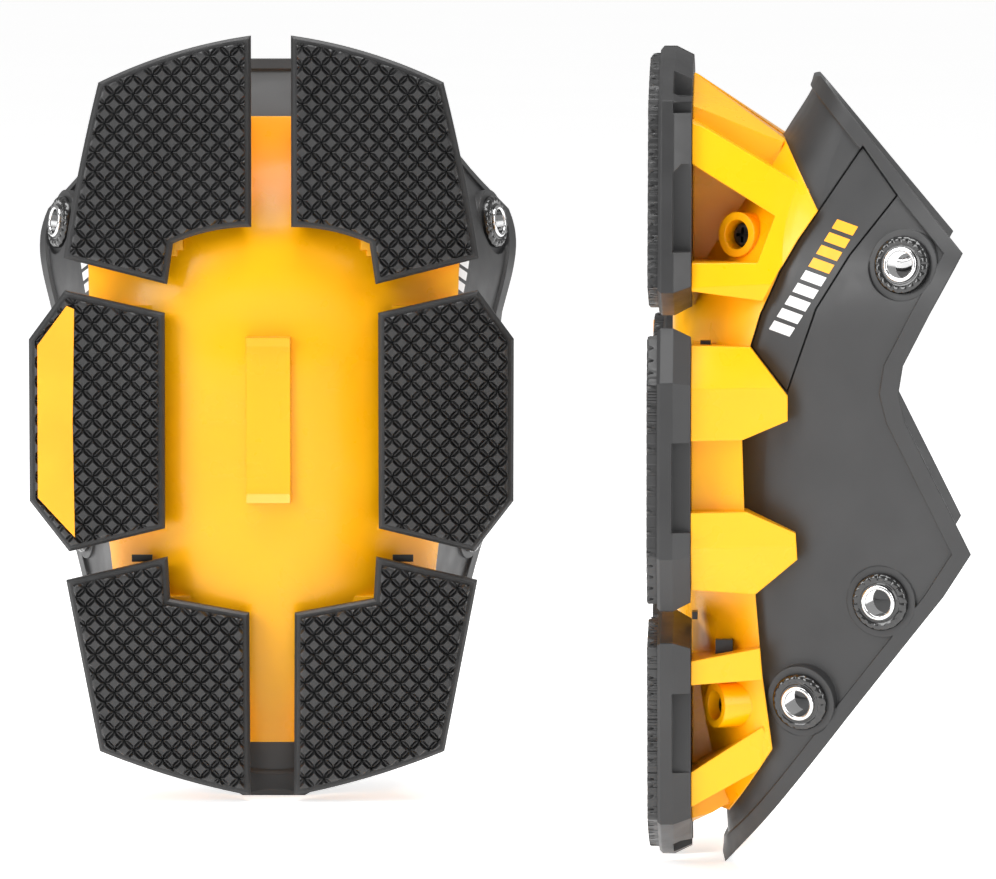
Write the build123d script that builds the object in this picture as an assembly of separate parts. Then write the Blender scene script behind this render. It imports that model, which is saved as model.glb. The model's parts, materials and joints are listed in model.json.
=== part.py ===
from build123d import *
import os
from math import cos, hypot, radians, sin

# A pair of snap-on knee pad shells. Each shell is a yellow cap screwed to a grey cradle, with six
# ground treads clipped to the front and six snap eyelets round the sides. Every length is in mm.
#
# A pad is modelled in its own frame: X to the wearer's side, Y from the ground treads back towards
# the knee, Z up, with the treads' ground plane at Y = 0 and the lowest point of the cradle at Z = 0.

# The pair, as it stands: one pad faces -Y and the other is turned just over a quarter to face -X.
PAIR_PLACES = {
    "left_knee": Location((-67.85, 64.31, 0)),
    "right_knee": Location((48.85, -77.69, 0), (0, 0, -92.06)),
}

# Treads and carriers
RUBBER_DEPTH = 3.0
CARRIER_BACK = 12.7
CARRIER_STRAIGHT = 4.6
CARRIER_DRAFT = 24
CARRIER_RIM = 0.9
TREAD_INSET = 1.9
WINDOW_DEPTH = 2.2

# Cap and cradle
WALL = 3.0
CAP_SKIN = 3.0
FIT = 0.12
RIM_FIT = 0.6
PAD_TOP = 233.5
LIP_REACH = 5.5
LIP_RISE = 1.1
FAR_BACK = 112
HALF = 90

# Badge panel
BADGE_DEPTH = 1.1
BADGE_PROUD = 0.25
BADGE_GAP = 0.45

# Snap eyelets
EYELET_BORE = 3.9
BARREL_RADIUS = 4.6
BARREL_ROLL = 5.15
RING_RADIUS = 8.5
RING_THICK = 2.2
WASHER_RADIUS = 7.0
WASHER_THICK = 0.9
EYELET_WALL = 3.4
EYELET_SEAT = 10.5
SEAT_DEPTH = 6
WASHER_ROOM = 7.8
EYELETS = {
    "upper": ((69.4, 73.8, 180.2), 22, 7),
    "lower": ((62.6, 67.8, 82.3), 20, -4),
    "bottom": ((54.2, 44.7, 52.3), 24, -10),
}

# Cap screws: a boss on the dome's flank, a deep socket and a pan-head screw into the cradle
BOSS_RADIUS = 6.6
BOSS_LENGTH = 17
SOCKET_RADIUS = 4.3
SOCKET_DEPTH = 5.2
SCREW_SHANK = 1.75
SCREW_LENGTH = 8
SCREW_HEAD = 3.7
SCREW_HEAD_HEIGHT = 2.4
BOSSES = {
    "upper": ((48.0, 25.7, 188.0), 37, 4),
    "lower": ((47.5, 19.6, 50.4), 62, 0),
}

# Tread clips: size, then middle
CLIPS = [
    ((4, 1.6, 7), (33.9, 13.7, 101.5)),
    ((6.5, 1.6, 2.2), (41.25, 13.7, 76.4)),
    ((8.5, 1.6, 2), (19.25, 13.7, 63)),
    ((4, 3.0, 5), (52.0, 18.3, 173.7)),
    ((4, 3.0, 4), (52.0, 16.8, 155.4)),
    ((4, 5.0, 5), (48.0, 22.3, 67.4)),
]

# Sections of the cradle and of the cap's dome, from bottom to top:
# height, cradle nose, dome nose, waist half width, waist depth, wing half width at FAR_BACK
SECTIONS = [
    (-8, 19.0, 17.4, 40, 43, 64),
    (20, 22.2, 18.6, 45, 41, 72),
    (50, 18.4, 11.6, 49, 36, 78),
    (75, 15.4, 7.4, 50, 35, 76),
    (95, 13.6, 6.1, 53, 34, 78.5),
    (118, 13.0, 5.7, 55, 34, 83.5),
    (142, 13.2, 5.7, 57, 35, 85),
    (165, 15.4, 6.7, 58, 37, 87.5),
    (185, 22.9, 14.9, 58, 46.5, 80),
    (200, 30.8, 26.8, 53, 50.5, 67),
    (216, 39.5, 35.3, 46, 56, 60),
    (224, 44.6, 40.5, 43, 59.5, 57),
    (242, 46.6, 43.5, 38, 64, 53),
]

# Depth and height of the cradle's edge, seen from the side
CRADLE_SIDE_TOP = [(50.1, PAD_TOP), (90.9, 183.8), (81.4, 166.3)]
CRADLE_SIDE_NOTCH = [(73.9, 151.3), (72.6, 143), (74.6, 134.8)]
CRADLE_SIDE_BOTTOM = [(93.6, 96.9), (85.8, 84.2), (58.3, 48.1), (22.5, 0)]
CRADLE_SIDE_FRONT = [(20.0, 6.3), (5, 6.3), (5, PAD_TOP)]

# Depth and height of the line where the yellow cap gives way to the grey cradle
CAP_RIM = [
    (39.7, 215.4),
    (49.3, 195.3),
    (43.6, 187.1),
    (38.3, 178),
    (32.6, 165.4),
    (29.8, 156),
    (40.7, 141.9),
    (40.7, 134.7),
    (27.5, 129.3),
    (28.2, 108.5),
    (43.1, 102),
    (43.6, 94.2),
    (31.4, 83.8),
    (33.5, 59.6),
    (36.5, 38.1),
    (32.6, 31.8),
    (23.8, 17.4),
]

# Depth and height of the badge panel's other corners, down its rear edge
BADGE_TOP = [(62.3, 213.3), (71.9, 199.9)]
BADGE_CURVE = [(58.3, 182.9), (48.6, 167.3)]
BADGE_FOOT = (40.4, 143.4)

# Half outlines of the cap's arms, width and height, just behind the carriers and at the rim
ARMS_FRONT = [
    (9, 233.7),
    (51, 220.5),
    (61.5, 173.2),
    (61.5, 158.5),
    (71.5, 144.4),
    (71.5, 98.2),
    (60, 83),
    (60.5, 69.8),
    (51, 21),
    (9, 9.5),
]
ARMS_REAR = [
    (9, 217),
    (49, 203.8),
    (60.5, 175.1),
    (60, 159.5),
    (60, 144.4),
    (58, 98.1),
    (54, 83),
    (52.5, 69.8),
    (46, 36.5),
    (9, 16.5),
]
ARMS_REAR_DEPTH = 47

# Each arm of the cap: its side outline (depth, height), then how near and far from the middle it runs
ARMS = [
    ([(12.8, 234), (39.7, 215.3), (36, 206.4), (12.8, 218.3)], 8.5, 36),
    ([(12.8, 221.4), (46.6, 201.4), (49.3, 195.3), (39.6, 192), (12.8, 208.7)], 28, HALF),
    ([(12.8, 180.2), (31.8, 180.2), (37.2, 194.6), (43.9, 188.7), (33.4, 169.3), (12.8, 172.1)], 30, HALF),
    ([(12.8, 156.4), (29.8, 156), (40.7, 141.9), (40.7, 134.7), (27.5, 129.3), (12.8, 129.3)], 30, HALF),
    ([(12.8, 129.8), (27.5, 129.8), (28.2, 108.2), (12.8, 108.2)], 30, 62.5),
    ([(12.8, 108.5), (28.9, 108.5), (43.1, 102), (43.6, 94.2), (31.4, 83.8), (12.8, 85.4)], 30, HALF),
    ([(12.8, 64.4), (32.8, 68), (33.6, 58.6), (12.8, 57.3)], 20, HALF),
    ([(12.8, 31.2), (33.5, 44.5), (36.5, 38.1), (32.6, 31.8), (12.8, 20.8)], 20, HALF),
    ([(12.8, 23.5), (28.5, 31.4), (23.8, 19.9), (12.8, 13.4)], 8.5, 30),
    ([(12.8, 172), (12.8, 230), (38, 215), (30, 196), (18, 172)], 8.5, 11.5),
    ([(12.8, 174), (12.8, 226), (40, 207), (34, 192), (22, 174)], 28, 31),
    ([(12.8, 18), (12.8, 66), (22, 66), (26, 40), (24, 22)], 8.5, 11.5),
    ([(12.8, 24), (12.8, 62), (30, 62), (32, 42), (28, 28)], 26, 29),
]

# The raised bar down the dome's middle: its side outline, and how far it runs to each side
BAR = [(1.6, 94.5), (4.0, 97.5), (4.0, 144), (1.6, 147), (20, 147), (20, 94.5)]
BAR_LEFT = -8
BAR_RIGHT = 6


def prism(points, near=-HALF, far=HALF):
    """A side outline of (depth, height) points, filled across from near to far."""
    outline = Polyline(*[(near, y, z) for y, z in points], close=True)
    return extrude(make_face(outline), amount=far - near, dir=(1, 0, 0))


def both_sides(shape):
    """A part and its mirror image across the pad's middle."""
    return [shape, mirror(shape, Plane.YZ)]


def joined(shapes):
    """Several shapes fused into one."""
    total = shapes[0]
    for shape in shapes[1:]:
        total = total + shape
    return total


def section(height, nose, waist, waist_depth, wing):
    """One level's U, closed across its open back."""
    run = (FAR_BACK - waist_depth, wing - waist)
    slope = hypot(*run)
    inward = (run[1] / slope, run[0] / slope)
    right = (waist, waist_depth, height)
    left = (-waist, waist_depth, height)
    far_right = (wing, FAR_BACK, height)
    far_left = (-wing, FAR_BACK, height)
    front = Spline(
        right,
        (0, nose, height),
        left,
        tangents=[(-inward[0], -inward[1], 0), (-inward[0], inward[1], 0)],
        tangent_scalars=(1.0, 1.0),
    )
    sides = [Line(far_right, right), Line(left, far_left), Line(far_left, far_right)]
    return make_face([sides[0], front, sides[1], sides[2]])


def channel(grow, dome=False):
    """The cradle's or the dome's outside as a solid channel, grown outwards by a few millimetres."""
    levels = []
    for height, cradle_nose, dome_nose, waist, waist_depth, wing in SECTIONS:
        nose = dome_nose if dome else cradle_nose - grow
        levels.append(section(height, nose, waist + grow, waist_depth, wing + grow))
    return loft(levels)


def tread_outlines():
    """The right-hand treads' outlines, as closed wires on the ground plane."""

    def flat(*points):
        return [(x, 0, z) for x, z in points]

    a, via, b, c, d, e, f = flat(
        (6.3, 241.7), (31, 236.2), (54.2, 227), (65.3, 171.8), (32.8, 163.6), (30.9, 176.4), (6.3, 181.6)
    )
    bow = (60.4, 0, 199.6)
    dip = (19, 0, 180.3)
    top = [ThreePointArc(a, via, b), ThreePointArc(b, bow, c), Line(c, d), Line(d, e)]
    top += [ThreePointArc(e, dip, f), Line(f, a)]
    middle = Polyline(
        *flat((33.6, 154.5), (65, 161.6), (76.3, 146.3), (76.2, 95.3), (63.8, 79.3), (33.7, 86.6)),
        close=True,
    )
    a, b, c, via, d, e, f = flat(
        (32.9, 77.5), (64.8, 70.1), (54.4, 16.1), (30, 7.6), (6.9, 2.0), (7.2, 59.8), (32.1, 64.3)
    )
    bottom = [Line(a, b), Line(b, c), ThreePointArc(c, via, d), Line(d, e), Line(e, f), Line(f, a)]
    return {"top": top, "middle": middle, "bottom": bottom}


def plate(outline, front, back, inset=0.0):
    """A flat plate between two depths, its outline drawn in by an inset."""
    face = make_face(outline)
    if inset:
        face = offset(face, -inset, kind=Kind.INTERSECTION)
    face = face.moved(Location((0, front, 0)))
    return extrude(face, amount=back - front, dir=(0, 1, 0))


def carrier(outline):
    """The hard tray under a tread: a straight rim with a broken front edge, then a drafted skirt."""
    rim_back = RUBBER_DEPTH + CARRIER_STRAIGHT
    rim = plate(outline, RUBBER_DEPTH, rim_back)
    front_edges = rim.faces().sort_by(Axis.Y)[0].edges()
    rim = chamfer(front_edges, CARRIER_RIM)
    face = make_face(outline).moved(Location((0, rim_back, 0)))
    if face.faces()[0].normal_at().Y < 0:
        face = -face.faces()[0]
    skirt = extrude(face, amount=CARRIER_BACK - rim_back, taper=CARRIER_DRAFT)
    return rim + skirt


def wall_windows(level):
    """The cut-outs in each right-hand carrier's outer walls."""
    deep = (CARRIER_BACK - 5.4, CARRIER_BACK + 1)

    def cut(low, high, near, far):
        size = (far - near, deep[1] - deep[0], high - low)
        middle = ((near + far) / 2, sum(deep) / 2, (low + high) / 2)
        return Box(*size).moved(Location(middle))

    def skewed(low, high, near, far, step):
        """A pocket whose top slopes down towards the rear."""
        outline = [(deep[0], low), (deep[0], high - step), (deep[0] + step, high), (deep[1], high)]
        return prism(outline + [(deep[1], low)], near, far)

    return {
        "top": [cut(228, 236, 34, 50), cut(223.5, 226.5, 49.5, 60), skewed(183.4, 208.7, 56.5, 70, 2.5)],
        "middle": [cut(103, 129, 71.5, 80)],
        "bottom": [cut(31.5, 55, 55, 70), cut(3, 8.5, 14, 30)],
    }[level]


def eyelet_plane(name):
    """Where an eyelet sits on the right-hand wall, its Z axis pointing out of the shell."""
    place, turn, lift = EYELETS[name]
    out = (
        cos(radians(turn)) * cos(radians(lift)),
        -sin(radians(turn)) * cos(radians(lift)),
        sin(radians(lift)),
    )
    return Plane(origin=place, x_dir=(0, 0, 1), z_dir=out)


def disc(plane, radius, low, high):
    """A cylinder on a plane's axis, from one height to another."""
    return extrude(plane.offset(low) * Circle(radius), amount=high - low)


def boss_plane(name):
    """Where a screw boss's mouth is on the right-hand flank, its Z axis pointing out of the socket."""
    place, turn, lift = BOSSES[name]
    out = (
        cos(radians(turn)) * cos(radians(lift)),
        -sin(radians(turn)) * cos(radians(lift)),
        sin(radians(lift)),
    )
    return Plane(origin=place, x_dir=(0, 0, 1), z_dir=out)


def badge_blank(grow):
    """The badge panel's side outline, grown by a gap, through the right-hand wall."""
    outline = [(y + RIM_FIT, z) for y, z in reversed(CAP_RIM[1:6])]
    outline += BADGE_TOP + BADGE_CURVE + [BADGE_FOOT]
    face = make_face(Polyline(*[(20, y, z) for y, z in outline], close=True))
    if grow:
        face = offset(face, grow, kind=Kind.INTERSECTION)
    return extrude(face, amount=HALF, dir=(1, 0, 0))


def cradle():
    """The grey leg-side shell: a U-shaped channel with a rolled edge and six eyelet seats."""
    outside = channel(0)
    hollow = channel(-WALL)
    outline = prism(CRADLE_SIDE_TOP + CRADLE_SIDE_NOTCH + CRADLE_SIDE_BOTTOM + CRADLE_SIDE_FRONT)
    edge = outline - outline.moved(Location((0, -LIP_REACH, 0)))
    body = (outside - hollow) & outline
    lip = (channel(LIP_RISE) - hollow) & edge
    body = body + lip
    for name in EYELETS:
        plane = eyelet_plane(name)
        seat = disc(plane, EYELET_SEAT, -SEAT_DEPTH, 0)
        behind = disc(plane, WASHER_ROOM, -16, -EYELET_WALL)
        ahead = disc(plane, EYELET_SEAT, 0, 6)
        hole = disc(plane, BARREL_RADIUS + FIT, -20, 20)
        for solid in both_sides(seat):
            body = body + solid
        for cut in (behind, ahead, hole):
            for solid in both_sides(cut):
                body = body - solid
    for cut in both_sides(badge_blank(BADGE_GAP) & (channel(4) - channel(-BADGE_DEPTH))):
        body = body - cut
    for name in BOSSES:
        for hole in both_sides(disc(boss_plane(name), SCREW_SHANK + FIT, -BOSS_LENGTH - 12, 0)):
            body = body - hole
    return body


def cap(carriers):
    """The yellow moulding: a dome over the knee, arms out to the treads and teeth over the cradle."""
    dome = channel(CAP_SKIN, dome=True) & prism([(-5, 215.4)] + CAP_RIM + [(-5, 17.4)])
    front = [(x, CARRIER_BACK + FIT, z) for x, z in ARMS_FRONT]
    rear = [(x, ARMS_REAR_DEPTH + 8, z) for x, z in ARMS_REAR]
    levels = []
    for points in (front, rear):
        mirrored = [(-x, y, z) for x, y, z in reversed(points)]
        levels.append(make_face(Polyline(*points, *mirrored, close=True)))
    envelope = loft(levels, ruled=True)
    arms = joined([prism(outline, near, far) for outline, near, far in ARMS]) & envelope
    bosses = [disc(boss_plane(name), BOSS_RADIUS, -BOSS_LENGTH, 0) for name in BOSSES]
    flank = joined([arms] + bosses)
    body = dome
    for side in both_sides(flank):
        body = body + side
    bar = prism(BAR, BAR_LEFT, BAR_RIGHT)
    body = body + bar
    for name in BOSSES:
        socket = disc(boss_plane(name), SOCKET_RADIUS, -SOCKET_DEPTH, 12)
        shank = disc(boss_plane(name), SCREW_SHANK + FIT, -BOSS_LENGTH - 12, 0)
        for cut in both_sides(socket) + both_sides(shank):
            body = body - cut
    body = body - channel(FIT)
    for solid in carriers + clips(FIT):
        body = body - solid
    return body


def screws():
    """Four pan-head screws, one in each boss."""
    solids = []
    for name in BOSSES:
        plane = boss_plane(name)
        head = disc(plane, SCREW_HEAD, -SOCKET_DEPTH, -SOCKET_DEPTH + SCREW_HEAD_HEIGHT)
        head = fillet(head.edges().sort_by(plane_axis(plane))[-1], 1.2)
        cross = Rectangle(4.4, 1.0) + Rectangle(1.0, 4.4)
        slot = extrude(plane.offset(-SOCKET_DEPTH + SCREW_HEAD_HEIGHT + 0.5) * cross, amount=-2)
        shank = disc(plane, SCREW_SHANK, -SOCKET_DEPTH - SCREW_LENGTH, -SOCKET_DEPTH)
        solids += both_sides(head + shank - slot)
    return solids


def plane_axis(plane):
    """A plane's own axis, for sorting along it."""
    return Axis(plane.origin, plane.z_dir)


def eyelet_parts():
    """The three pieces of every snap eyelet: rolled barrel, outer ring and inner washer."""
    barrels, rings, washers = [], [], []
    for name in EYELETS:
        plane = eyelet_plane(name)
        back = -EYELET_WALL - WASHER_THICK
        barrel = disc(plane, BARREL_RADIUS, back, RING_THICK)
        roll = disc(plane, BARREL_ROLL, RING_THICK, RING_THICK + 0.9)
        roll = fillet(roll.edges().sort_by(plane_axis(plane))[-1], 0.7)
        curl = disc(plane, BARREL_ROLL, back - 0.7, back)
        barrels += both_sides(barrel + roll + curl - disc(plane, EYELET_BORE, -20, 20))
        ring = disc(plane, RING_RADIUS, 0, RING_THICK) - disc(plane, BARREL_RADIUS, -1, 20)
        outer = ring.edges().filter_by(GeomType.CIRCLE).sort_by(plane_axis(plane))[-2:]
        ring = fillet(outer.sort_by(SortBy.RADIUS)[-1], 1.5)
        rings += both_sides(ring)
        washer = disc(plane, WASHER_RADIUS, back, -EYELET_WALL) - disc(plane, BARREL_RADIUS, -20, 20)
        washers += both_sides(washer)
    return barrels, rings, washers


def clips(room=0.0):
    """The small black tabs that hold the carriers down and show past their inner edges."""
    tabs = []
    for size, middle in CLIPS:
        grown = [length + 2 * room for length in size]
        tabs += both_sides(Box(*grown).moved(Location(middle)))
    return tabs


def label():
    """The slim plate that lies over the outer half of one middle tread."""
    outline = [(64.2, 157), (61.8, 156), (62.4, 120), (61.8, 84.1), (73.4, 96.6), (73.4, 144.6)]
    wire = Polyline(*[(-x, 0, z) for x, z in outline], close=True)
    return plate(wire, -0.35, 1.2)


def one_pad():
    """Every node of one pad, in the pad's own frame."""
    nodes = {}
    carriers = []
    badge = badge_blank(0) & (channel(BADGE_PROUD) - channel(-BADGE_DEPTH + FIT))
    plates = label()
    for level, outline in tread_outlines().items():
        tray = carrier(outline)
        for window in wall_windows(level):
            tray = tray - window
        rubber = plate(outline, 0, RUBBER_DEPTH, TREAD_INSET)
        for side, tray_side, rubber_side in zip(
            ("right", "left"), both_sides(tray), both_sides(rubber)
        ):
            if (level, side) == ("middle", "left"):
                rubber_side = rubber_side - plates
            nodes[f"carrier_{level}_{side}"] = [tray_side]
            nodes[f"tread_{level}_{side}"] = [rubber_side]
            carriers.append(tray_side)
    nodes["label_plate"] = [plates]
    nodes["cradle"] = [cradle()]
    nodes["cap"] = [cap(carriers)]
    for side, panel in zip(("right", "left"), both_sides(badge)):
        nodes[f"badge_panel_{side}"] = [panel]
    nodes["eyelet_barrels"], nodes["eyelet_rings"], nodes["eyelet_washers"] = eyelet_parts()
    nodes["cap_screws"] = screws()
    nodes["tread_clips"] = clips()
    return nodes


def write(name, shapes, place):
    """Write one node's solids, placed in the pair."""
    solids = [solid for shape in shapes for solid in shape.solids()]
    export_step(Compound(children=[solid.moved(place) for solid in solids]), f"parts/{name}.step")


def main():
    os.makedirs("parts", exist_ok=True)
    pad = one_pad()
    for prefix, place in PAIR_PLACES.items():
        for name, shapes in pad.items():
            write(f"{prefix}_{name}", shapes, place)


main()
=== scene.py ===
"""A pair of hard knee pad shells on a pale studio floor."""

import json
from math import cos, pi, radians, sin

import bpy
import numpy as np
from mathutils import Matrix, Vector
from mathutils.bvhtree import BVHTree


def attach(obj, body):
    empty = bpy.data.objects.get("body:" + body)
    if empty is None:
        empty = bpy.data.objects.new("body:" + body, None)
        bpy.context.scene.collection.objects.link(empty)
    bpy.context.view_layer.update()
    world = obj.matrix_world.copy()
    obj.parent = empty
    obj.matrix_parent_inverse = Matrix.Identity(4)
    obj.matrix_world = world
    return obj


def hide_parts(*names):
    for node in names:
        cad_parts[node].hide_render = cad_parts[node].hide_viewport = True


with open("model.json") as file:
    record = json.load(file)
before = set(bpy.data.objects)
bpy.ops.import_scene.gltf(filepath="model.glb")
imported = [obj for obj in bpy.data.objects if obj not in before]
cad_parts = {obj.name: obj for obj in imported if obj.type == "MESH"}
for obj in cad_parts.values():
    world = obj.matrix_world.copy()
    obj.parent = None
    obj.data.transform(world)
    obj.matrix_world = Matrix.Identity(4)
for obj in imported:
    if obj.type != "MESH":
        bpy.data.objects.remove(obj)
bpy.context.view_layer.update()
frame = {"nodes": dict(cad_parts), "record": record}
nodes = frame["nodes"]
record = frame["record"]

MM = 0.001
PADS = ("left_knee", "right_knee")
SIDES = ("left", "right")
LEVELS = ("top", "middle", "bottom")

# Ground treads: a lattice of diamonds, its grooves and where one diamond's middle falls on each level
TREAD_PITCH = 6.03 * MM
TREAD_PHASE = {"top": (12.9, 232.3), "middle": (44.1, 118.2), "bottom": (19.4, 56.0)}
GROOVE_HALF_WIDTH = 0.95 * MM
GROOVE_DEPTH = 2.0 * MM
RIDGE_DROP = 0.55 * MM
RUBBER_DEPTH = 3.0 * MM
CELL_LINES = (0, 0.05, 0.11, 0.17, 0.23, 0.36, 0.5, 0.64, 0.77, 0.83, 0.89, 0.95)

# Snap eyelets
BARREL_BORE = 3.9
RING_RADIUS = 8.5
# from a bore mount, at the middle of its wall, out to the ring's seat
SEAT_LIFT = 0.95

# Floor
FLOOR_RADIUS = 40.0
FLOOR_GLOW = 0.65


# ---------------------------------------------------------------- places


def mount(name):
    """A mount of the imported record, by name."""
    return next(m for m in record["mounts"] if m["name"] == name)


def pad_matrix(pad):
    """The pad's own frame in the pair's: X across, Y back from the ground treads, Z up."""
    face = Vector(mount(f"{pad}_ground_face")["pos_m"])
    seat = mount(f"{pad}_knee_seat")
    back = Vector(seat["axis"])
    across = back.cross(Vector((0, 0, 1)))
    middle = Vector(seat["pos_m"])
    origin = middle - back * (middle - face).dot(back)
    origin.z = 0
    matrix = Matrix((across, back, (0, 0, 1))).transposed().to_4x4()
    matrix.translation = origin
    return matrix


PLACES = {pad: pad_matrix(pad) for pad in PADS}


# ---------------------------------------------------------------- materials


class Shader:
    """A principled material under construction, with short ways to add its texture nodes."""

    def __init__(self, name, roughness, **sockets):
        self.material = bpy.data.materials.new(name)
        self.material.use_nodes = True
        self.tree = self.material.node_tree
        self.bsdf = self.tree.nodes["Principled BSDF"]
        self.bsdf.inputs["Roughness"].default_value = roughness
        for socket, value in sockets.items():
            self.bsdf.inputs[socket.replace("_", " ")].default_value = value
        coordinates = self.tree.nodes.new("ShaderNodeTexCoord")
        self.where = coordinates.outputs["Object"]

    def node(self, kind, inputs=None, **settings):
        made = self.tree.nodes.new(kind)
        for key, value in settings.items():
            setattr(made, key, value)
        for key, value in (inputs or {}).items():
            if isinstance(value, bpy.types.NodeSocket):
                self.tree.links.new(value, made.inputs[key])
            else:
                made.inputs[key].default_value = value
        return made

    def noise(self, scale, detail=3.0, roughness=0.5):
        inputs = {"Vector": self.where, "Scale": scale, "Detail": detail, "Roughness": roughness}
        return self.node("ShaderNodeTexNoise", inputs).outputs["Fac"]

    def ramp(self, fac, low, high, start=0.3, end=0.7):
        made = self.node("ShaderNodeValToRGB", {"Fac": fac})
        made.color_ramp.elements[0].position = start
        made.color_ramp.elements[0].color = low
        made.color_ramp.elements[1].position = end
        made.color_ramp.elements[1].color = high
        return made.outputs["Color"]

    def spread(self, fac, low, high):
        inputs = {"Value": fac, "From Min": 0.3, "From Max": 0.7, "To Min": low, "To Max": high}
        return self.node("ShaderNodeMapRange", inputs).outputs["Result"]

    def colour(self, socket):
        self.tree.links.new(socket, self.bsdf.inputs["Base Color"])

    def gloss(self, socket):
        self.tree.links.new(socket, self.bsdf.inputs["Roughness"])

    def relief(self, height, strength, distance, edge=0.0):
        """A bump, over softened edges where the piece has them."""
        inputs = {"Height": height, "Strength": strength, "Distance": distance}
        if edge:
            rounded = self.node("ShaderNodeBevel", {"Radius": edge}, samples=4)
            inputs["Normal"] = rounded.outputs["Normal"]
        made = self.node("ShaderNodeBump", inputs)
        self.tree.links.new(made.outputs["Normal"], self.bsdf.inputs["Normal"])


def grey(value, tint=0.0):
    return (value, value, value * (1 + tint), 1)


def moulded_grey(name, low, high, roughness, edge):
    """A dark satin plastic with a fine spark-eroded texture."""
    shader = Shader(name, roughness, Specular_IOR_Level=0.45)
    cloud = shader.noise(35.0, 4.0)
    shader.colour(shader.ramp(cloud, grey(low, 0.02), grey(high, 0.02)))
    shader.gloss(shader.spread(shader.noise(120.0, 3.0), roughness - 0.05, roughness + 0.06))
    shader.relief(shader.noise(2600.0, 2.0, 0.6), 0.16, 0.00012, edge)
    return shader.material


def tread_rubber():
    """Satin moulded rubber: near black, its tone and gloss varying at random."""
    shader = Shader("tread_rubber", 0.42, Specular_IOR_Level=0.6)
    cloud = shader.noise(60.0, 4.0)
    shader.colour(shader.ramp(cloud, grey(0.014, 0.03), grey(0.024, 0.03)))
    shader.gloss(shader.spread(shader.noise(300.0, 3.0), 0.32, 0.48))
    shader.relief(shader.noise(3200.0, 3.0, 0.6), 0.22, 0.00015)
    return shader.material


def cap_yellow():
    """Glossy orange-yellow moulding with faint flow variation under the surface."""
    shader = Shader("cap_yellow", 0.3, Specular_IOR_Level=0.35)
    shader.bsdf.inputs["Coat Weight"].default_value = 0.1
    shader.bsdf.inputs["Coat Roughness"].default_value = 0.1
    cloud = shader.noise(18.0, 3.0)
    shader.colour(shader.ramp(cloud, (1.0, 0.42, 0.0, 1), (1.0, 0.47, 0.0, 1)))
    shader.gloss(shader.spread(shader.noise(90.0, 3.0), 0.25, 0.36))
    shader.relief(shader.noise(900.0, 2.0, 0.5), 0.05, 0.0001, 0.0007)
    return shader.material


def label_yellow():
    """Satin yellow plate."""
    shader = Shader("label_yellow", 0.38)
    shader.colour(shader.ramp(shader.noise(40.0), (1.0, 0.36, 0.004, 1), (1.0, 0.42, 0.008, 1)))
    shader.gloss(shader.spread(shader.noise(200.0), 0.32, 0.44))
    shader.relief(shader.noise(1500.0), 0.08, 0.0001, 0.0003)
    return shader.material


def eyelet_metal(name, value, roughness):
    """Plated steel, with faint random variation in tone and gloss."""
    shader = Shader(name, roughness, Metallic=1.0)
    shader.colour(shader.ramp(shader.noise(220.0), grey(value * 0.92), grey(value)))
    shader.gloss(shader.spread(shader.noise(600.0, 4.0), roughness * 0.7, roughness * 1.5))
    shader.relief(shader.noise(1800.0, 2.0), 0.05, 0.0001)
    return shader.material


def gloss_black():
    """Glossy black enamel."""
    shader = Shader("eyelet_black", 0.16)
    shader.bsdf.inputs["Coat Weight"].default_value = 0.6
    shader.bsdf.inputs["Coat Roughness"].default_value = 0.06
    shader.colour(shader.ramp(shader.noise(90.0), grey(0.006), grey(0.012)))
    shader.gloss(shader.spread(shader.noise(500.0, 4.0), 0.12, 0.26))
    shader.relief(shader.noise(1400.0, 3.0), 0.1, 0.0001)
    return shader.material


def print_ink(name, colour):
    """A satin printed ink."""
    shader = Shader(name, 0.4)
    dark = tuple(channel * 0.93 for channel in colour) + (1,)
    shader.colour(shader.ramp(shader.noise(300.0, 4.0), dark, colour + (1,)))
    shader.gloss(shader.spread(shader.noise(800.0), 0.34, 0.48))
    shader.relief(shader.noise(2400.0), 0.1, 0.0001)
    return shader.material


MATERIALS = {
    "cap": cap_yellow(),
    "cradle": moulded_grey("cradle_grey", 0.028, 0.036, 0.40, 0.0006),
    "carrier": moulded_grey("carrier_grey", 0.024, 0.031, 0.42, 0.0005),
    "tread": tread_rubber(),
    "badge_panel": moulded_grey("badge_grey", 0.026, 0.033, 0.40, 0.0003),
    "label_plate": label_yellow(),
    "eyelet_barrels": eyelet_metal("eyelet_chrome", 0.78, 0.12),
    "eyelet_rings": gloss_black(),
    "eyelet_washers": eyelet_metal("washer_steel", 0.55, 0.3),
    # The screws are made near black as painted shade: the dark of the socket holes they sit in.
    "cap_screws": eyelet_metal("screw_black", 0.05, 0.35),
    "tread_clips": moulded_grey("clip_black", 0.008, 0.012, 0.35, 0.0002),
}
INK_WHITE = print_ink("ink_white", (0.80, 0.80, 0.80))
INK_YELLOW = print_ink("ink_yellow", (1.0, 0.42, 0.008))

# Stripes on a badge panel: the ends of their row and its half width, as depth and height in the side view
STRIPES_FROM = np.array((38.2, 160.0))
STRIPES_TO = np.array((58.6, 193.0))
STRIPES_HALF = 3.1
STRIPE_INKS = 5 * [INK_WHITE] + 4 * [INK_YELLOW]
STRIPE_SHARE = 0.7
STRIPE_SKEW = 0.7
STRIPE_STEPS = 14
STRIPE_PROUD = 0.12 * MM
RAY_START = 0.12


def dress_cad():
    """Every carried-over CAD node gets its own kind's material."""
    for name, node in nodes.items():
        kinds = [key for key in MATERIALS if name.split("_knee_")[1].startswith(key)]
        kind = max(kinds, key=len)
        node.data.materials.clear()
        node.data.materials.append(MATERIALS[kind])


# ---------------------------------------------------------------- treads


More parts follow.
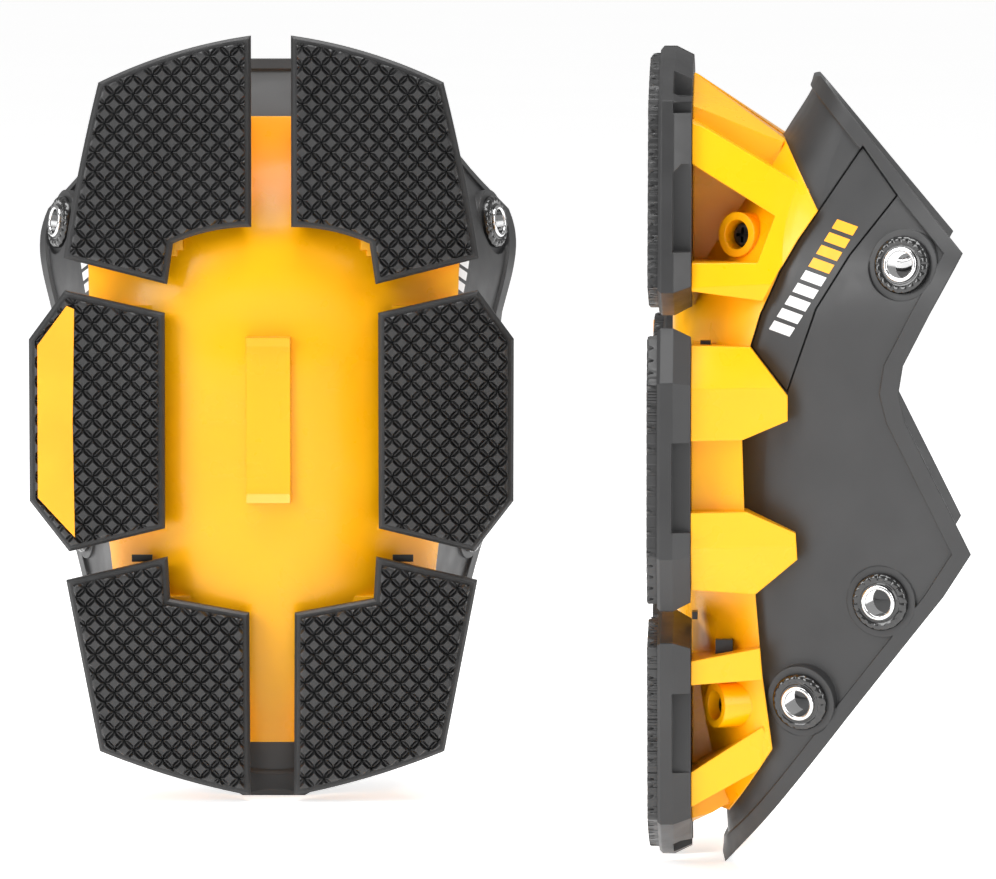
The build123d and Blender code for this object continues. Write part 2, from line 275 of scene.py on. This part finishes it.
def mesh_object(name, vertices, faces, material, smooth_angle=None):
    """A new mesh piece from plain lists, linked into the scene."""
    mesh = bpy.data.meshes.new(name)
    mesh.from_pydata([tuple(v) for v in vertices], [], faces)
    mesh.validate()
    mesh.materials.append(material)
    made = bpy.data.objects.new(name, mesh)
    bpy.context.scene.collection.objects.link(made)
    if smooth_angle is not None:
        mesh.shade_smooth()
        mesh.set_sharp_from_angle(angle=radians(smooth_angle))
    return made


def front_outline(node, place):
    """The outline of a CAD tread's ground face, in the pad's frame, as (across, up) points in order."""
    inverse = place.inverted()
    points = [inverse @ v.co for v in node.data.vertices]
    front = min(p.y for p in points)
    key = [(round(p.x, 6), round(p.z, 6)) for p in points]
    flat = [p.y < front + 0.01 * MM for p in points]
    count = {}
    for polygon in node.data.polygons:
        loop = list(polygon.vertices)
        if not all(flat[i] for i in loop):
            continue
        for i, j in zip(loop, loop[1:] + loop[:1]):
            edge = (key[i], key[j])
            count[edge] = count.get(edge, 0) + 1
    ahead = {a: b for a, b in count if (b, a) not in count}
    start = next(iter(ahead))
    outline = [start]
    while ahead[outline[-1]] != start:
        outline.append(ahead[outline[-1]])
    return np.array(outline)


def inside(points, outline):
    """Which points lie inside a closed outline."""
    result = np.zeros(len(points), bool)
    for a, b in zip(outline, np.roll(outline, -1, axis=0)):
        crosses = (a[1] > points[:, 1]) != (b[1] > points[:, 1])
        rise = b[1] - a[1] if abs(b[1] - a[1]) > 1e-12 else 1e-12
        across = a[0] + (points[:, 1] - a[1]) * (b[0] - a[0]) / rise
        result ^= crosses & (points[:, 0] < across)
    return result


def nearest_on(points, outline):
    """The nearest place on a closed outline to each point, and how far it is."""
    best = np.full(len(points), 1e9)
    place = points.copy()
    for a, b in zip(outline, np.roll(outline, -1, axis=0)):
        run = b - a
        along = np.clip(((points - a) @ run) / max(run @ run, 1e-18), 0, 1)
        foot = a + along[:, None] * run
        far = np.linalg.norm(points - foot, axis=1)
        nearer = far < best
        best[nearer] = far[nearer]
        place[nearer] = foot[nearer]
    return place, best


def groove_depth(u, v, side):
    """How deep the rubber's surface lies below the ground plane, u and v across one diamond."""
    reach = np.maximum(abs(u), abs(v))
    ridge = RIDGE_DROP * np.clip((reach - 0.28 * side) / (0.22 * side), 0, 1)

    def lens(off, along):
        half = GROOVE_HALF_WIDTH * (1 - (2 * along / side) ** 2) + 1e-9
        return np.clip(1.7 * (1 - (side / 2 - abs(off)) / half), 0, 1)

    cut = np.maximum(lens(u, v), lens(v, u))
    return ridge + cut * (GROOVE_DEPTH - ridge)


def diamond_tread(name, node, place, phase, mirrored):
    """A detailed rubber tread cut to its CAD node's outline: the lattice, its grooves and its sides."""
    outline = front_outline(node, place)
    side = TREAD_PITCH / 2**0.5
    start = np.array([-phase[0] if mirrored else phase[0], phase[1]]) * MM
    low, high = outline.min(axis=0), outline.max(axis=0)
    turn = np.array([[1, 1], [-1, 1]]) / 2**0.5
    corners = np.array([[x, z] for x in (low[0], high[0]) for z in (low[1], high[1])])
    span = (corners - start) @ turn.T / side
    lines = []
    for axis in (0, 1):
        first = int(np.floor(span[:, axis].min())) - 1
        last = int(np.ceil(span[:, axis].max())) + 1
        lines.append(np.array([(n - 0.5 + t) * side for n in range(first, last) for t in CELL_LINES]))
    a, b = np.meshgrid(*lines, indexing="ij")
    flat = np.stack([a.ravel(), b.ravel()], axis=1)
    depth = groove_depth(*((flat + side / 2) % side - side / 2).T, side)
    spots = flat @ turn + start
    keep = inside(spots, outline)
    rows, columns = a.shape
    index = np.arange(rows * columns).reshape(rows, columns)
    around = [index[:-1, :-1], index[1:, :-1], index[1:, 1:], index[:-1, 1:]]
    quads = np.stack(around, axis=-1).reshape(-1, 4)
    quads = quads[keep[quads].sum(axis=1) >= 2]
    used = np.unique(quads)
    outside = used[~keep[used]]
    spots[outside] = nearest_on(spots[outside], outline)[0]
    edge_far = nearest_on(spots[used], outline)[1]
    soft = np.clip(1 - edge_far / (0.5 * MM), 0, 1)
    depth[used] = np.maximum(depth[used], 0.45 * MM * soft**2)
    renumber = np.full(rows * columns, -1)
    renumber[used] = np.arange(len(used))
    quads = renumber[quads]
    return close_tread(name, spots[used], depth[used], quads, place)


def close_tread(name, spots, depth, quads, place):
    """Adds the sides and back to a tread's face and places it on its pad."""
    edges = {}
    for quad in quads:
        for i, j in zip(quad, np.roll(quad, -1)):
            edges[(int(i), int(j))] = True
    rim = [(i, j) for i, j in edges if (j, i) not in edges]
    total = len(spots)
    back_of = {}
    vertices = [(x, y, z) for (x, z), y in zip(spots, depth)]
    faces = [tuple(int(i) for i in quad) for quad in quads]
    for i, j in rim:
        for corner in (i, j):
            if corner not in back_of:
                back_of[corner] = total + len(back_of)
                vertices.append((spots[corner][0], RUBBER_DEPTH, spots[corner][1]))
        faces.append((j, i, back_of[i], back_of[j]))
    ahead = {i: j for i, j in rim}
    ring = [rim[0][0]]
    while ahead[ring[-1]] != ring[0]:
        ring.append(ahead[ring[-1]])
    faces.append(tuple(back_of[i] for i in reversed(ring)))
    placed = [place @ Vector(v) for v in vertices]
    return mesh_object(name, placed, faces, MATERIALS["tread"], 35)


def build_treads():
    for pad in PADS:
        for level in LEVELS:
            for side in SIDES:
                node = f"{pad}_tread_{level}_{side}"
                phase = TREAD_PHASE[level]
                made = diamond_tread(f"{node}_lattice", nodes[node], PLACES[pad], phase, side == "left")
                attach(made, f"{pad}_pad")
                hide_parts(node)


# ---------------------------------------------------------------- eyelets


def lathe(profile, steps, bumps=None):
    """Vertices and faces of a closed ring turned from (radius, height) points, in millimetres."""
    vertices, faces = [], []
    count = len(profile)
    for step in range(steps):
        angle = 2 * pi * step / steps
        for i, (radius, height) in enumerate(profile):
            lift = bumps(step, i) if bumps else 0
            vertices.append((radius * cos(angle), radius * sin(angle), height + lift))
    for step in range(steps):
        ahead = (step + 1) % steps
        for i in range(count):
            j = (i + 1) % count
            faces.append((step * count + i, ahead * count + i, ahead * count + j, step * count + j))
    return vertices, faces


def arc(centre, radius, start, end, steps):
    """Points on an arc in a profile, its angles in degrees."""
    points = []
    for k in range(steps + 1):
        angle = radians(start + (end - start) * k / steps)
        points.append((centre[0] + radius * cos(angle), centre[1] + radius * sin(angle)))
    return points


def ring_profile():
    """The black outer ring: domed, with a shallow channel round its middle."""
    dome = arc((RING_RADIUS - 1.5, 0.8), 1.45, 0, 80, 7)
    channel = [(6.5, 2.15), (6.25, 1.95), (5.75, 1.95), (5.55, 2.15), (5.3, 2.15)]
    return [(4.75, 0.02), (RING_RADIUS - 0.05, 0.02)] + dome + channel + [(4.75, 2.1)]


def notch(step, i):
    """Small generic notches pressed round the ring's dome."""
    pressed = (step % 6) in (0, 1) and 4 <= i <= 9
    return -0.22 if pressed else 0


def barrel_profile():
    """The rolled steel barrel: a lip over the ring, a straight bore and a curl behind."""
    lip = arc((4.5, 2.45), 0.68, -20, 200, 12)
    curl = arc((4.6, -4.6), 0.55, 160, 380, 10)
    return [(4.6, 2.2)] + lip + [(BARREL_BORE, 1.9), (BARREL_BORE, -4.2)] + curl + [(4.6, -4.2)]


def eyelet_mounts(pad):
    return [m for m in record["mounts"] if m["name"].startswith(pad) and "_eyelet_" in m["name"]]


def placed_on_eyelets(name, pad, shape, material):
    """One piece made of a copy of a turned shape at each of a pad's eyelets."""
    vertices, faces = shape
    all_vertices, all_faces = [], []
    for eyelet in eyelet_mounts(pad):
        out = Vector(eyelet["axis"])
        turn = out.to_track_quat("Z", "Y")
        origin = Vector(eyelet["pos_m"])
        base = len(all_vertices)
        for v in vertices:
            all_vertices.append(origin + turn @ (Vector((v[0], v[1], v[2] + SEAT_LIFT)) * MM))
        all_faces += [tuple(base + i for i in face) for face in faces]
    made = mesh_object(name, all_vertices, all_faces, material, 40)
    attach(made, f"{pad}_pad")
    return made


def build_eyelets():
    for pad in PADS:
        rings = lathe(ring_profile(), 120, notch)
        made = placed_on_eyelets(f"{pad}_eyelet_rings_turned", pad, rings, MATERIALS["eyelet_rings"])
        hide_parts(f"{pad}_eyelet_rings")
        barrels = lathe(barrel_profile(), 72)
        made = placed_on_eyelets(f"{pad}_eyelet_barrels_rolled", pad, barrels, MATERIALS["eyelet_barrels"])
        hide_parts(f"{pad}_eyelet_barrels")


# ---------------------------------------------------------------- stripes


def stripe_patch(node, place, side, corners):
    """A thin skin over a badge panel, inside four side-view corners, or None where they miss it."""
    tree = BVHTree.FromObject(node, bpy.context.evaluated_depsgraph_get())
    outward = 1 if side == "right" else -1
    steps = STRIPE_STEPS
    a, b, c, d = (corner * MM for corner in corners)
    vertices = []
    for i in range(steps + 1):
        for j in range(steps + 1):
            u, v = i / steps, j / steps
            y, z = (a * (1 - u) + b * u) * (1 - v) + (d * (1 - u) + c * u) * v
            start = place @ Vector((outward * RAY_START, y, z))
            towards = place.to_3x3() @ Vector((-outward, 0, 0))
            hit = tree.ray_cast(start, towards)[0]
            if hit is None:
                return None
            vertices.append(hit - towards * STRIPE_PROUD)
    faces = []
    for i in range(steps):
        for j in range(steps):
            k = i * (steps + 1) + j
            faces.append((k, k + steps + 1, k + steps + 2, k + 1))
    return vertices, faces


def stripe_corners(n):
    """The four corners of one slanted stripe of the row."""
    run = (STRIPES_TO - STRIPES_FROM) / len(STRIPE_INKS)
    along = run / np.linalg.norm(run)
    across = np.array((along[1], -along[0])) * STRIPES_HALF
    start = STRIPES_FROM + run * n
    end = start + run * STRIPE_SHARE
    skew = along * STRIPE_SKEW
    return [start - across - skew, start + across + skew, end + across + skew, end - across - skew]


def build_stripes():
    """Plain slanted stripes on each badge panel, in place of any lettering."""
    for pad in PADS:
        for side in SIDES:
            node = nodes[f"{pad}_badge_panel_{side}"]
            for n, material in enumerate(STRIPE_INKS):
                patch = stripe_patch(node, PLACES[pad], side, stripe_corners(n))
                if patch is None:
                    continue
                made = mesh_object(f"{pad}_badge_{side}_stripe_{n + 1}", *patch, material, 60)
                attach(made, f"{pad}_pad")


# ---------------------------------------------------------------- studio


def area_light(name, place, target, size, power, colour=(1, 1, 1)):
    light = bpy.data.lights.new(name, "AREA")
    light.shape = "RECTANGLE"
    light.size, light.size_y = size
    light.energy = power
    light.color = colour
    made = bpy.data.objects.new(name, light)
    made.location = place
    made.rotation_euler = (Vector(target) - Vector(place)).to_track_quat("-Z", "Y").to_euler()
    bpy.context.scene.collection.objects.link(made)
    return made


def floor():
    """A wide flat floor with a faint glow, open on every side so that it never hides the pads."""
    shader = Shader("studio_white", 0.85)
    shader.bsdf.inputs["Emission Color"].default_value = (1, 1, 1, 1)
    shader.bsdf.inputs["Emission Strength"].default_value = FLOOR_GLOW
    shader.colour(shader.ramp(shader.noise(2.0), grey(0.90), grey(0.92)))
    shader.relief(shader.noise(60.0), 0.02, 0.001)
    rim = [(FLOOR_RADIUS * cos(pi * k / 32), FLOOR_RADIUS * sin(pi * k / 32), 0) for k in range(64)]
    made = mesh_object("studio_floor", rim, [tuple(range(len(rim)))], shader.material)


def world_light(value):
    world = bpy.data.worlds.new("studio_air")
    world.use_nodes = True
    background = world.node_tree.nodes["Background"]
    background.inputs["Color"].default_value = (1, 1, 1, 1)
    background.inputs["Strength"].default_value = value
    bpy.context.scene.world = world


def lights():
    middle = (0, 0.1, 0.12)
    world_light(0.36)
    area_light("key_left", (-1.9, -1.6, 1.2), middle, (1.2, 1.6), 38)
    area_light("key_right", (1.7, -1.7, 1.0), middle, (0.9, 1.6), 22)
    area_light("overhead", (0, -0.3, 2.2), middle, (2.0, 1.2), 46)


def camera():
    """A long lens, a little above the pads and in front of the left one."""
    tread_plane = PLACES["left_knee"].translation
    data = bpy.data.cameras.new("camera")
    data.sensor_width = 36
    data.lens = 299.9
    made = bpy.data.objects.new("camera", data)
    made.location = (tread_plane.x + 0.0713, tread_plane.y - 2.602, 0.296)
    made.rotation_euler = (radians(90 - 3.98), 0, 0)
    bpy.context.scene.collection.objects.link(made)
    bpy.context.scene.camera = made


# ---------------------------------------------------------------- scene

dress_cad()
build_treads()
build_eyelets()
build_stripes()
floor()
lights()
camera()
bpy.context.scene.view_settings.view_transform = "Standard"
